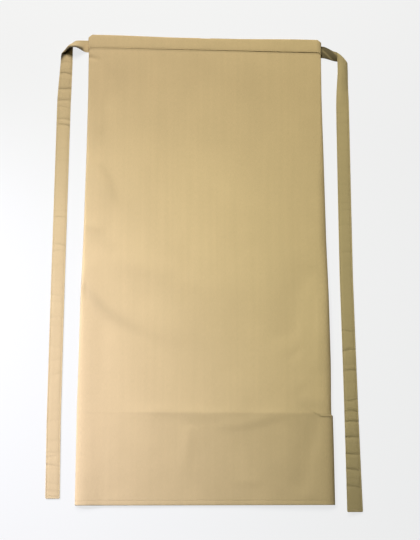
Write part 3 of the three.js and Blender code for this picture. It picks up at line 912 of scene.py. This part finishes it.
def new_material(name, finish):
    """A material with its shader and the shader's plain values."""
    material = bpy.data.materials.new(name)
    material.use_nodes = True
    shader = material.node_tree.nodes["Principled BSDF"]
    for key, value in finish.items():
        shader.inputs[key].default_value = value
    return material, shader


def add_node(tree, kind, inputs, **settings):
    """A new node with its settings; each input gets a value, or a link from another node's output."""
    node = tree.nodes.new("ShaderNode" + kind)
    for key, value in settings.items():
        setattr(node, key, value)
    for key, value in inputs.items():
        if isinstance(value, bpy.types.NodeSocket):
            tree.links.new(value, node.inputs[key])
        else:
            node.inputs[key].default_value = value
    return node


def parallel_lines(tree, place, row):
    """Lines on the flat cloth."""
    turned = {"Vector": place, "Rotation": (0, 0, math.radians(row.turn))}
    mapping = add_node(tree, "Mapping", turned)
    scaled = {"Vector": mapping.outputs["Vector"], "Scale": WAVE_UNIT / row.period}
    return add_node(tree, "TexWave", {**scaled, **LINE_WOBBLE}).outputs["Fac"]


def noise(tree, place, row):
    """Noise on the flat cloth, drawn out along it."""
    stretched = {"Vector": place, "Scale": (1 / row.size, 1 / row.size / row.stretch, 1)}
    mapping = add_node(tree, "Mapping", stretched)
    plain = {"Vector": mapping.outputs["Vector"], "Scale": 1.0, "Detail": row.detail}
    return add_node(tree, "TexNoise", plain).outputs["Fac"]


def ranged(tree, factor, low_high):
    inputs = {"Value": factor, "To Min": low_high[0], "To Max": low_high[1]}
    return add_node(tree, "MapRange", inputs).outputs["Result"]


def times(tree, a, b):
    return add_node(tree, "Math", {0: a, 1: b}, operation="MULTIPLY").outputs["Value"]


def tinted(tree, colour, shade):
    scaled = add_node(tree, "VectorMath", {0: colour, "Scale": shade}, operation="SCALE")
    return scaled.outputs["Vector"]


def shade_tint_across(tree, place, colours):
    """A colour that changes across the front, from its left to its right, as a painted tint of the shade on
    the right.
    """
    x = add_node(tree, "SeparateXYZ", {"Vector": place}).outputs["X"]
    front = {"Value": x, "From Min": -FRONT_HALF, "From Max": FRONT_HALF}
    share = add_node(tree, "MapRange", front).outputs["Result"]
    ends = {"Factor": share, "A": colours[0], "B": colours[1]}
    return add_node(tree, "Mix", ends, data_type="VECTOR").outputs["Result"]


def twill(name, colours):
    """Matte cotton twill: diagonal wales, yarns, slubs and uneven dye, with painted shade and a painted tint
    across.
    """
    material, shader = new_material(name, CLOTH_FINISH)
    tree = material.node_tree
    place = add_node(tree, "Attribute", {}, attribute_name="cloth_mm").outputs["Vector"]
    tone = add_node(tree, "Attribute", {}, attribute_name="tone").outputs["Fac"]
    wale = parallel_lines(tree, place, WALE)
    yarn = parallel_lines(tree, place, YARN)
    shade = ranged(tree, wale, WALE.shade)
    for row in (SLUB, WARP, DYE):
        shade = times(tree, shade, ranged(tree, noise(tree, place, row), row.shade))
    # painted shade and light from the tone attribute
    shade = times(tree, shade, tone)
    tree.links.new(tinted(tree, shade_tint_across(tree, place, colours), shade), shader.inputs["Base Color"])
    height = times(tree, ranged(tree, wale, WALE.height), ranged(tree, yarn, YARN.height))
    bump = add_node(tree, "Bump", {"Height": height, **BUMP})
    tree.links.new(bump.outputs["Normal"], shader.inputs["Normal"])
    return material


def thread(name, colour):
    """Matte cotton thread, a little uneven from stitch to stitch."""
    material, shader = new_material(name, THREAD_FINISH)
    tree = material.node_tree
    place = add_node(tree, "TexCoord", {}).outputs["Object"]
    uneven = add_node(tree, "TexNoise", {"Vector": place, "Scale": THREAD_NOISE.scale})
    shade = ranged(tree, uneven.outputs["Fac"], THREAD_NOISE.shade)
    tree.links.new(tinted(tree, colour, shade), shader.inputs["Base Color"])
    return material


def staged(name, points, faces, look):
    """A plain surface that glows a little, for the stage round the apron."""
    mesh = bpy.data.meshes.new(name)
    mesh.from_pydata(points, [], faces)
    obj = link_object(name, mesh)
    finish = {
        "Base Color": (*look.colour, 1), "Roughness": PAPER_ROUGHNESS,
        "Emission Color": (*look.glow, 1), "Emission Strength": 1.0,
    }
    mesh.materials.append(new_material(name + "_paper", finish)[0])
    return obj


def make_stage():
    """The floor, and the wall round it that only the camera sees."""
    sides = BACKDROP.sides
    turns = np.linspace(0, math.tau, sides, endpoint=False)
    foot = [(FLOOR.reach * math.cos(turn), FLOOR.reach * math.sin(turn), 0.0) for turn in turns]
    head = [(x, y, BACKDROP.height) for x, y, _ in foot]
    wall_faces = [(i, (i + 1) % sides, sides + (i + 1) % sides, sides + i) for i in range(sides)]
    staged("floor", foot, [tuple(range(sides))], FLOOR)
    backdrop = staged("backdrop", foot + head, wall_faces, BACKDROP)
    for rays in ("diffuse", "glossy", "transmission", "shadow"):
        setattr(backdrop, "visible_" + rays, False)


def make_light(light):
    lamp_data = bpy.data.lights.new(light.name, light.kind)
    if light.kind == "AREA":
        lamp_data.shape = "SQUARE"
        lamp_data.size = light.size
    else:
        lamp_data.shadow_soft_size = light.size
        lamp_data.spot_size = math.radians(light.cone)
        lamp_data.spot_blend = 1.0
    lamp_data.energy = light.power
    lamp_data.color = light.colour
    lamp = link_object(light.name, lamp_data)
    lamp.location = Vector(to_world(light.place))
    beam = Vector(to_world(light.aim)) - lamp.location
    lamp.rotation_euler = beam.to_track_quat("-Z", "Y").to_euler()
    lamp.visible_camera = False


def make_fill():
    """A weak light from everywhere."""
    world = bpy.data.worlds.new("soft_fill")
    world.use_nodes = True
    background = world.node_tree.nodes["Background"]
    background.inputs["Color"].default_value = (*FILL.colour, 1)
    background.inputs["Strength"].default_value = FILL.strength
    scene.world = world


def make_camera():
    camera_data = bpy.data.cameras.new("camera")
    camera_data.sensor_fit = "HORIZONTAL"
    camera_data.sensor_width = SENSOR
    camera_data.lens = FOCAL_PIXELS * SENSOR / IMAGE_WIDTH
    camera = link_object("camera", camera_data)
    look = Vector(LOOK).normalized()
    right = look.cross(Vector(UP).normalized()).normalized()
    turned = Matrix((right, right.cross(look), -look)).transposed()
    camera.matrix_world = Matrix.Translation(to_world(EYE).tolist()) @ turned.to_4x4()
    scene.camera = camera
    scene.view_settings.view_transform = "Standard"


# The pieces, each cloth with its stitching
panel, panel_threads = make_panel()
waistband, band_threads = make_waistband()
ties, tie_threads = zip(*[make_tie(tie) for tie in TIES])

cotton = thread("cotton_thread", THREAD_COLOUR)
for obj, threads, node, slot_name, cotton_name, colours in [
    (panel, panel_threads, "panel", "panel_twill", "panel_cotton", PANEL_COLOURS),
    (waistband, band_threads, "waistband", "band_twill", "band_cotton", BAND_COLOURS),
    (ties[0], tie_threads[0], "tie_left", "tie_twill", "left_tie_cotton", LEFT_TIE_COLOURS),
    (ties[1], tie_threads[1], "tie_right", "tie_twill", "right_tie_shaded_cotton", RIGHT_TIE_COLOURS),
]:
    obj.data.materials.append(twill(cotton_name, colours))
    threads.data.materials.append(cotton)
    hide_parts(node)
    for piece in (obj, threads):
        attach(piece, "root")

# Stage, light and camera
make_stage()
for light in LIGHTS:
    make_light(light)
make_fill()
make_camera()
